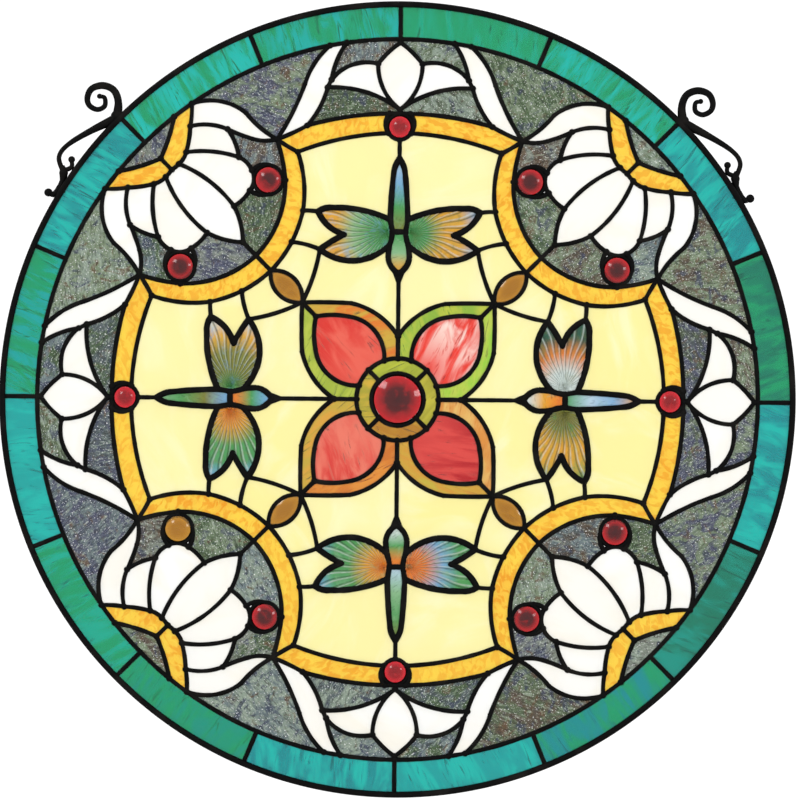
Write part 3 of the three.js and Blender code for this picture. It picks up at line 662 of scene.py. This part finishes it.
petal_tints = dict(
    # The top right petal's near white body is a painted highlight that whitens it towards its tip
    top_right=(paint(255, 232, 220), paint(240, 60, 44)),
    bottom_right=(paint(190, 22, 30), paint(226, 74, 66)),
    bottom_left=(paint(224, 60, 50), paint(240, 126, 104)),
    top_left=(paint(226, 52, 40), paint(240, 104, 84)))
petal_rise = 0.4
for node, index, turn, twin, arcs in places_of("red_petal"):
    body, swirl_colour = petal_tints[node.removeprefix("red_petal_")]
    root = (-1j) ** turn * ring_diagonal
    tip = (-1j) ** turn * polar(89, 45)

    def petal_tint(share, point):
        along = abs(point - root) / abs(tip - root)
        return between(swirl_colour, body, min(1, along * 1.5))

    petal = Glazing(42 + turn)
    petal.domed(outline_of(arcs), (root + tip) / 2, petal_rise, petal_tint, swirl_colour, rings=5)
    petal.fit(f"{node}_piece", swirled_glass.material, [node], "red_glass")

# Jewels: pressed and polished glass, domed on the face and flat on the back. A round ruby one sits in
# the middle, on each side's axis and in the corner circles, and four honey ovals at the field's corners.
jewel_glass = Finish("jewel_glass", IOR=1.5, Specular_IOR_Level=0.12, Transmission_Weight=0.7)
cut, tint, streak = glass_fields(jewel_glass)
haze = jewel_glass.noise(cut, 12.0, 2.0, 0.6)
jewel_glass.feed(jewel_glass.mix(tint, streak, haze.span(0.5, 0.75) * 0.4), 0.04 + 0.08 * haze, haze, 0.15)

# Each jewel's deep middle and bright rim are painted shade and painted light for the dome's thickness
ruby_deep = paint(62, 0, 4)
ruby_lit_rim = paint(206, 8, 24)
rose_deep = paint(140, 0, 12)
rose_lit_rim = paint(226, 16, 38)
honey_deep = paint(168, 112, 14)
honey_lit_rim = paint(200, 142, 30)
jewel_base = -3.0
jewel_steps = 40


def jewel_colours(deep, bright):
    """Deep in the middle, and brighter towards the edge: painted shade in the thick middle and painted light
    at the thin rim.
    """
    return lambda share, point: between(deep, bright, max(0, share - 0.5) * 2)


def jewel(node, centre, radius, rise, colours, seed, slot):
    outline = [centre + cmath.rect(radius, 2 * math.pi * i / jewel_steps) for i in range(jewel_steps)]
    glazing = Glazing(seed)
    glazing.domed(outline, centre, rise, jewel_colours(*colours), colours[1], rings=10, front=jewel_base)
    glazing.fit(f"{node}_cast", jewel_glass.material, [node], slot)


ruby = (ruby_deep, ruby_lit_rim)
rose = (rose_deep, rose_lit_rim)
honey = (honey_deep, honey_lit_rim)
round_jewels = []
jewel("centre_jewel", 0j, 18.4, 4.6, ruby, 51, "ruby_glass")
side_jewel = 208.7j
corner_jewel = 100.3 + 167.3j
small_jewel_rise = 3.1
for turn in range(4):
    spin = (-1j) ** turn
    jewel(f"side_jewel_{side_names[turn]}", side_jewel * spin, 8.5, small_jewel_rise, rose, 60 + turn,
          "ruby_glass")
    for letter, place in (("a", corner_jewel), ("b", 1j * corner_jewel.conjugate())):
        is_amber = (turn, letter) == (2, "b")
        colours, slot = (honey, "amber_glass") if is_amber else (ruby, "ruby_glass")
        jewel(f"corner_jewel_{corner_names[turn]}_{letter}", place * spin, 10.1, small_jewel_rise, colours,
              70 + 2 * turn, slot)
        round_jewels.append((place * spin, 9.8))
    round_jewels.append((side_jewel * spin, 8.2))
for node, index, turn, twin, arcs in places_of("oval_jewel"):
    outline = outline_of(arcs, 1.5)
    heart = sum(outline) / len(outline)
    oval = Glazing(80 + turn)
    oval.domed(outline, heart, 2.2, jewel_colours(*honey), honey_lit_rim, rings=7)
    oval.fit(f"{node}_cast", jewel_glass.material, [node], "honey_glass")

# Dragonflies: pressed glass castings. Each has two pairs of veined wings, a slim tail and a rounded
# head, in greens, ambers and pale blues that run into each other, flat on the back.
cast_glass = Finish("veined_cast_glass", IOR=1.5, Specular_IOR_Level=0.3, Transmission_Weight=0.45)
cut, tint, streak = glass_fields(cast_glass)
fleck_dark = (0.01, 0.04, 0.03, 1)
blot = cast_glass.noise(cut, 14.0, 3.0, 1.0)
fleck = cast_glass.noise(cut, 40.0, 2.0, 0.4, (0.5, 2, 1))
blotted = cast_glass.mix(tint, streak, blot.span(0.5, 0.8) * 0.5)
flecked = cast_glass.mix(blotted, fleck_dark, fleck.span(0.55, 0.75) * 0.4)
cast_glass.feed(flecked, 0.1 + 0.15 * fleck, fleck, 0.5)

leaf = paint(70, 160, 84)
moss = paint(24, 84, 60)
gold = paint(236, 170, 40)
orange = paint(240, 128, 24)
# A pale frosted glass in some wings and heads, and also the painted highlight along the wings' veins
sky = paint(120, 178, 226)
frost_and_vein_highlight = paint(222, 234, 230)
olive = paint(128, 128, 44)
pale_blue = paint(188, 214, 232)
leaf_pale = paint(140, 190, 140)
# The thin painted shadow line beside each wing vein
vein_painted_shadow = (0.01, 0.04, 0.02, 1)
# Colours from the body outwards, by quarter turn: a wing pair's also by its twin
wing_tints = {
    (0, 0): [leaf, leaf, gold, gold, sky], (0, 1): [leaf, leaf, leaf_pale, gold, gold],
    (1, 0): [olive, olive, gold, gold, leaf], (1, 1): [frost_and_vein_highlight, frost_and_vein_highlight, orange, moss, moss],
    (2, 0): [orange, gold, leaf, leaf, sky], (2, 1): [orange, orange, sky, leaf, leaf],
    (3, 0): [leaf, olive, olive, gold, frost_and_vein_highlight], (3, 1): [orange, gold, leaf, leaf, sky]}
wing_blots = {(0, 0): olive, (0, 1): sky, (1, 0): leaf, (1, 1): olive,
              (2, 0): leaf_pale, (2, 1): leaf_pale, (3, 0): sky, (3, 1): olive}
tail_tints = [[olive, leaf, sky, pale_blue], [leaf, pale_blue, sky, gold],
              [pale_blue, leaf_pale, leaf, olive], [sky, olive, leaf, leaf_pale]]
head_tints = [[leaf, leaf_pale, gold], [orange, gold, frost_and_vein_highlight], [orange, leaf, frost_and_vein_highlight], [orange, leaf, sky]]
wing_root = 9 + 128j
wing_length = 54
vein_height = 0.7
veins_per_radian = 42
tail_heart = 148j
tail_start, tail_length = 129, 56
head_heart = 113j
head_start, head_length = 124, 24


def run_of(colours):
    """Colours that follow each other from a piece's root to its tip."""
    def tint_at(share):
        place = min(share, 0.999) * (len(colours) - 1)
        return between(colours[int(place)], colours[int(place) + 1], place - int(place))
    return tint_at


def vein(point, root, shift=0.0):
    """1 on the veins that fan out from the wing's root, and 0 between them."""
    wave = 0.8 * math.sin(abs(point - root) / 5)
    angle = cmath.phase((point - root) / root)
    return max(0, math.cos(angle * veins_per_radian + wave + shift)) ** 6


glazings = {}
for node, index, turn, twin, arcs in places_of("dragonfly"):
    glazing = glazings.setdefault(node, Glazing(90 + len(glazings)))
    outline = outline_of(arcs, 0.9)
    spin = (-1j) ** turn
    if index == 0:
        root = (mirrors["axis"](wing_root) if twin else wing_root) * spin
        run = run_of(wing_tints[turn, twin])

        def wing_tint(share, point):
            # A painted highlight along each vein, and a thin painted shadow line beside it
            away = min(1, abs(point - root) / wing_length)
            lit = between(run(away), frost_and_vein_highlight, 0.6 * vein(point, root) * min(1, 4 * away))
            return between(lit, vein_painted_shadow, 0.8 * vein(point, root, 1.7) * min(1, 4 * away))

        glazing.domed(outline, root, 0.5, wing_tint, wing_blots[turn, twin], rings=16, power=3.0,
                      height_at=lambda point: vein_height * vein(point, root),
                      direction=-cmath.phase(spin))
    elif index == 1:
        run = run_of(tail_tints[turn])
        glazing.domed(outline, tail_heart * spin, 1.2,
                      lambda share, point: run(max(0, abs(point) - tail_start) / tail_length),
                      leaf_pale, rings=6)
    else:
        run = run_of(head_tints[turn])
        glazing.domed(outline, head_heart * spin, 1.6,
                      lambda share, point: run(max(0, head_start - abs(point)) / head_length),
                      leaf_pale, rings=7)
for node, glazing in glazings.items():
    glazing.fit(f"{node}_casting", cast_glass.material, [node], "cast_glass")

# Leads: copper foil round every piece of glass, joined by beads of solder on both faces, wider where
# beads meet, and darkened with patina. One net of them holds the whole panel together.
lead_half_width = 2.2
body_lead_half_width = 2.8
pool_half_width = 2.9
end_half_width = 2.35
jewel_lead_gap = 1.6
jewel_lead_half_width = 1.9
bead_pitch = 3.4
lead_depth_ratio = 1.2


class Nodes:
    """A Geometry Nodes tree with named sizes, used once as a modifier and then made a plain mesh."""

    def __init__(self, name, sizes):
        self.tree = bpy.data.node_groups.new(name, "GeometryNodeTree")
        self.tree.interface.new_socket("Geometry", in_out="INPUT", socket_type="NodeSocketGeometry")
        for label, value in sizes.items():
            socket = self.tree.interface.new_socket(label, in_out="INPUT", socket_type="NodeSocketFloat")
            socket.default_value = value
        self.tree.interface.new_socket("Geometry", in_out="OUTPUT", socket_type="NodeSocketGeometry")
        self.start = self.tree.nodes.new("NodeGroupInput")
        self.end = self.tree.nodes.new("NodeGroupOutput")

    def node(self, kind, settings=None, inputs=None, output=0):
        made = self.tree.nodes.new(kind)
        for key, value in (settings or {}).items():
            setattr(made, key, value)
        for key, value in (inputs or {}).items():
            if isinstance(value, bpy.types.NodeSocket):
                self.tree.links.new(value, made.inputs[key])
            else:
                made.inputs[key].default_value = value
        return made.outputs[output]

    def close(self, geometry, material):
        real = self.node("GeometryNodeRealizeInstances", {}, {0: geometry})
        dressed = self.node("GeometryNodeSetMaterial", {}, {0: real, "Material": material})
        self.tree.links.new(dressed, self.end.inputs[0])

    def mesh(self, name, source):
        """The tree's result on a source mesh, as a plain mesh in an object of its own."""
        holder = bpy.data.objects.new(f"{name}_path", source)
        bpy.context.scene.collection.objects.link(holder)
        modifier = holder.modifiers.new("nodes", "NODES")
        modifier.node_group = self.tree
        graph = bpy.context.evaluated_depsgraph_get()
        result = bpy.data.meshes.new_from_object(holder.evaluated_get(graph))
        bpy.data.objects.remove(holder)
        result.name = name
        piece = bpy.data.objects.new(name, result)
        bpy.context.scene.collection.objects.link(piece)
        return piece


def paths_mesh(name, paths):
    """Paths of (point, half width) as loose edges, with the half widths as an attribute."""
    mesh = bpy.data.meshes.new(name)
    points, edges, widths = [], [], []
    for path in paths:
        first = len(points)
        for point, half_width in path:
            points.append((point.real / 1000, 0, (point.imag - eye_rise) / 1000))
            widths.append(half_width / 1000)
        edges += [(i, i + 1) for i in range(first, len(points) - 1)]
    mesh.from_pydata(points, edges, [])
    attribute = mesh.attributes.new("half_width", "FLOAT", "POINT")
    attribute.data.foreach_set("value", widths)
    return mesh


def bar_nodes(name, material, sides, unevenness, depth_ratio):
    """Sweeps an oval bar along each path. Its half width varies a little, as poured metal does."""
    nodes = Nodes(name, {"Depth ratio": depth_ratio, "Unevenness": unevenness})
    width = nodes.node("GeometryNodeInputNamedAttribute", dict(data_type="FLOAT"),
                       {"Name": "half_width"})
    noise = nodes.node("ShaderNodeTexNoise", {}, {"Scale": 110.0, "Detail": 2.0})
    swing = nodes.node("ShaderNodeMath", dict(operation="SUBTRACT"), {0: noise, 1: 0.5})
    share = nodes.node("ShaderNodeMath", dict(operation="MULTIPLY_ADD"),
                       {0: swing, 1: nodes.start.outputs["Unevenness"], 2: 1.0})
    radius = nodes.node("ShaderNodeMath", dict(operation="MULTIPLY"), {0: width, 1: share})
    curve = nodes.node("GeometryNodeMeshToCurve", {}, {0: nodes.start.outputs["Geometry"]})
    turned = nodes.node("GeometryNodeSetCurveNormal", dict(mode="FREE"),
                        {0: curve, "Normal": (0, 1, 0)})
    circle = nodes.node("GeometryNodeCurvePrimitiveCircle", {}, {"Resolution": sides, "Radius": 1.0})
    scale = nodes.node("ShaderNodeCombineXYZ", {},
                       {0: nodes.start.outputs["Depth ratio"], 1: 1.0, 2: 1.0})
    section = nodes.node("GeometryNodeTransform", {}, {0: circle, "Scale": scale})
    swept = {0: turned, 1: section, "Scale": radius, "Fill Caps": True}
    bars = nodes.node("GeometryNodeCurveToMesh", {}, swept)
    smooth = nodes.node("GeometryNodeSetShadeSmooth", {}, {0: bars})
    nodes.close(smooth, material)
    return nodes


patina = Finish("black_patina", Specular_IOR_Level=0.06)
place = patina.node("ShaderNodeTexCoord", {}, {}, "Object")
cloud = patina.noise(place, 45.0, 4.0, 0.5)
pit = patina.noise(place, 700.0, 3.0)
dull = patina.mix((0.0015, 0.0015, 0.0015, 1), (0.008, 0.007, 0.006, 1), cloud.span(0.45, 0.75))
patina.feed(dull, 0.4 + 0.25 * cloud, pit * 0.6 + cloud * 0.4, 0.3, 0.0004)

# Each seam once, though two pieces share it, and the wider of the two leads
lines = {}
for sheet in sheets:
    for node, index, turn, twin, arcs in places_of(sheet):
        for a, b, bulge in arcs:
            middle = (a + b) / 2 + 1j * (b - a) * bulge
            key = round(middle.real * 2), round(middle.imag * 2)
            half_width = body_lead_half_width if sheet == "dragonfly" else lead_half_width
            lines[key] = max(lines.get(key, (0,)), (half_width, a.real, a.imag, b.real, b.imag, bulge))
# A pointed pool of solder in front of each dragonfly's head
snout = [(102j, 4.6), (96j, 2.3), (90j, 0)]
snout_half_width = 2.3
paths = [[((-1j) ** turn * (place + side * aside), snout_half_width) for place, aside in snout]
         for turn in range(4) for side in (-1, 1)]
joints = {}
for half_width, a_x, a_y, b_x, b_y, bulge in lines.values():
    a, b = complex(a_x, a_y), complex(b_x, b_y)
    paths.append([(p, half_width) for p in points_of((a, b, bulge), bead_pitch) + [b]])
    for joint in (a, b):
        joints.setdefault((round(joint.real), round(joint.imag)), []).append(joint)
for ends in joints.values():
    swell = pool_half_width if len(ends) > 2 else end_half_width
    paths.append([(ends[0] + swell * math.sin(angle), max(0.05, swell * math.cos(angle)))
                  for angle in (math.pi * (k / 8 - 0.5) for k in range(9))])
for index in range(rim_pieces):
    turn = 360 / rim_pieces * index
    paths.append([(polar(rim_inside + (rim_outside - rim_inside) * i / 8, turn), lead_half_width)
                  for i in range(9)])
for centre, radius in round_jewels:
    ring_radius = radius + jewel_lead_gap
    paths.append([(centre + cmath.rect(ring_radius, 2 * math.pi * i / 24), jewel_lead_half_width)
                  for i in range(25)])
lead_nodes = bar_nodes("solder_lines", patina.material, 10, 0.3, lead_depth_ratio)
leads = lead_nodes.mesh("lead_lines", paths_mesh("lead_paths", paths))
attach(leads, "root")
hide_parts("lead_lattice")

# Frame: a narrow metal channel bent round the rim glass, which it grips on both faces. Its ends are
# soldered together, and it has the same dark patina as the leads.
frame_radius = 305.0
frame_face = 4.5
frame_depth = 9.0
frame_edge = 1.1
frame_nodes = Nodes("frame_channel", {"Radius": (frame_radius - frame_face / 2) / 1000,
                                      "Face": frame_face / 1000, "Depth": frame_depth / 1000,
                                      "Edge": frame_edge / 1000})
sizes = frame_nodes.start.outputs
ring = frame_nodes.node("GeometryNodeCurvePrimitiveCircle", {},
                        {"Resolution": 288, "Radius": sizes["Radius"]})
bar = frame_nodes.node("GeometryNodeCurvePrimitiveQuadrilateral", {},
                       {"Width": sizes["Face"], "Height": sizes["Depth"]})
rounded = frame_nodes.node("GeometryNodeFilletCurve", {}, {0: bar, "Radius": sizes["Edge"]})
channel = frame_nodes.node("GeometryNodeCurveToMesh", {}, {0: ring, 1: rounded})
stood = frame_nodes.node("GeometryNodeTransform", {}, {0: channel, "Rotation": (math.pi / 2, 0, 0),
                                                     "Translation": (0, 0, -eye_rise / 1000)})
frame_nodes.close(stood, patina.material)
channel_piece = frame_nodes.mesh("frame_channel", bpy.data.meshes.new("frame_seed"))
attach(channel_piece, "root")
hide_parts("frame_ring")

# Hooks: a cast scroll on each side, soldered to the frame at its joint and foot. The panel hangs by the
# scroll's eye. Each has a long arm, a curl with a ball, a leaf and a foot that ends in a ball.
eye_spread = 230
# Each bar's points, from the eye's middle, and its half widths
scroll_bars = [
    ([-13 - 17j, -14.1 - 4.2j, -10.6 + 5j, -2.3 + 8.6j, 6.2 + 6.2j, 9.6 - 0.4j, 8.2 - 6.6j, 2 - 9.8j,
      -3.6 - 7.1j, -3.6 - 0.9j, 0.3 + 0.4j], [4, 3, 2.9, 2.9, 2.6, 2.4, 2.2, 2.1, 2, 1.8, 1.6]),
    ([-15 - 15.5j, 6.8 - 26.2j, 24.5 - 37.2j, 31 - 46.5j, 28 - 57.5j], [4.2, 2.6, 1.9, 1.9, 2]),
    ([27.4 - 57j, 21.4 - 54j, 21.3 - 48.3j], [2, 1.8, 1.7]),
    ([28.6 - 53j, 27.4 - 58.6j, 28.3 - 66j, 28.2 - 74j], [1.8, 3.6, 1.9, 3]),
    ([28.3 - 64j, 30 - 70j, 34.5 - 75j, 38.9 - 73.7j], [1.9, 3, 2.4, 2])]
scroll_balls = [(0.3 + 0.4j, 2.1), (21.3 - 48.3j, 2.7), (38.9 - 73.7j, 3.3), (-13.5 - 15j, 5.2)]
hook_nodes = bar_nodes("scroll_bars", patina.material, 14, 0.1, 0.8)


def smooth_path(points, widths, steps):
    """A smooth path through the points, with its half width."""
    points = [2 * points[0] - points[1]] + points + [2 * points[-1] - points[-2]]
    path = []
    for i in range(len(widths) - 1):
        p, q, r, t = points[i:i + 4]
        for k in range(steps + (i == len(widths) - 2)):
            u = k / steps
            point = (2 * q + (r - p) * u + (2 * p - 5 * q + 4 * r - t) * u ** 2
                     + (3 * q - p - 3 * r + t) * u ** 3) / 2
            path.append((point, widths[i] + (widths[i + 1] - widths[i]) * u))
    return path


for side, mirror in (("right", 1), ("left", -1)):
    def placed(point):
        spot = complex(eye_spread + point.real, eye_rise + point.imag)
        return spot if mirror > 0 else -spot.conjugate()

    paths = [[(placed(p), w) for p, w in smooth_path(*bar_line, 7)] for bar_line in scroll_bars]
    for centre, radius in scroll_balls:
        cuts = [math.pi * (k / 8 - 0.5) for k in range(9)]
        paths.append([(placed(centre + radius * math.sin(a)), max(0.05, radius * math.cos(a)))
                      for a in cuts])
    hook = hook_nodes.mesh(f"scroll_hook_{side}", paths_mesh(f"hook_paths_{side}", paths))
    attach(hook, "root")
    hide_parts(f"hanger_{side}")

# Studio: a pale floor under the panel, white light all round it that comes through the glass, soft
# lamps in front for the shine on the leads, and a long lens that looks straight at the panel.
panel_centre = -eye_rise / 1000
floor_size = 2.2
floor_drop = 0.62
floor_mesh = bpy.data.meshes.new("floor")
corners = [(-1, -1), (1, -1), (1, 1), (-1, 1)]
floor_mesh.from_pydata([(x * floor_size, y * floor_size, panel_centre - floor_drop) for x, y in corners], [],
                       [(0, 1, 2, 3)])
floor_paint = Finish("pale_floor", Roughness=0.6)
place = floor_paint.node("ShaderNodeTexCoord", {}, {}, "Object")
speckle = floor_paint.noise(place, 30.0, 3.0)
floor_paint.feed(floor_paint.mix((0.82, 0.82, 0.81, 1), (0.86, 0.86, 0.85, 1), speckle))
floor_mesh.materials.append(floor_paint.material)
floor = bpy.data.objects.new("floor", floor_mesh)
bpy.context.scene.collection.objects.link(floor)
floor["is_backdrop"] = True

world = bpy.data.worlds.new("white_room")
bpy.context.scene.world = world
world.use_nodes = True
background = world.node_tree.nodes["Background"]
background.inputs["Color"].default_value = (1, 1, 1, 1)
background.inputs["Strength"].default_value = 1.12


def lamp(name, place, size, watts):
    light = bpy.data.lights.new(name, "AREA")
    light.size = size
    light.energy = watts
    holder = bpy.data.objects.new(name, light)
    holder.location = place
    aim = holder.location.copy()
    aim.z -= panel_centre
    holder.rotation_euler = aim.to_track_quat("Z", "Y").to_euler()
    bpy.context.scene.collection.objects.link(holder)


lamp("lamp_left", (-1.3, -1.6, panel_centre + 1.3), 0.6, 9)
lamp("lamp_right", (1.5, -1.4, panel_centre + 0.5), 0.4, 4)

# The picture's size, and how wide the panel is in it, in pixels
photo_side = 800
panel_pixels = 796
pixel = 2 * frame_radius / 1000 / panel_pixels
camera_distance = 4.0
camera_roll = -0.5
lens = bpy.data.cameras.new("long_lens")
lens.sensor_width = 36
lens.lens = 36 * camera_distance / (photo_side * pixel)
camera = bpy.data.objects.new("camera", lens)
camera.location = (2.5 * pixel, -camera_distance, panel_centre - 0.5 * pixel)
camera.rotation_euler = (math.radians(90), math.radians(camera_roll), 0)
bpy.context.scene.collection.objects.link(camera)
bpy.context.scene.camera = camera
bpy.context.scene.view_settings.view_transform = "Standard"

boxes = {"cad": cad_box, "visual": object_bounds()}
{key: [[float(v) for v in corner] for corner in box] for key, box in boxes.items()}
